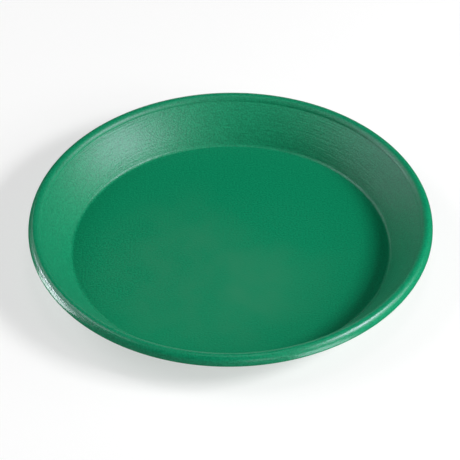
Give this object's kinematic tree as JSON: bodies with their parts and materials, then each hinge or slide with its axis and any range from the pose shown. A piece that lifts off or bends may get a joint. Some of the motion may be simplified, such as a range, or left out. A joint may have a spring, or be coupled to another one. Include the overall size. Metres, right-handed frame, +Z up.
{
  "type": "gold pan",
  "caption": "Shallow round gold pan moulded in matte green plastic, with a wide flat floor, a sloping wall, two fine grooves below the rim and a rounded rim that turns down into an open lip.",
  "frame": {"origin": "centre of the underside, in the plane that the pan stands on", "axes": "+Z up through the mouth of the pan, the axis that the shell is turned about; X and Y lie in the resting plane and are interchangeable"},
  "size_m": [0.356, 0.356, 0.0395],
  "materials": {
    "green_plastic": "matte moulded polypropylene with a fine grain and a soft sheen"
  },
  "bodies": {
    "root": {"pan": "green_plastic"}
  },
  "joints": []
}
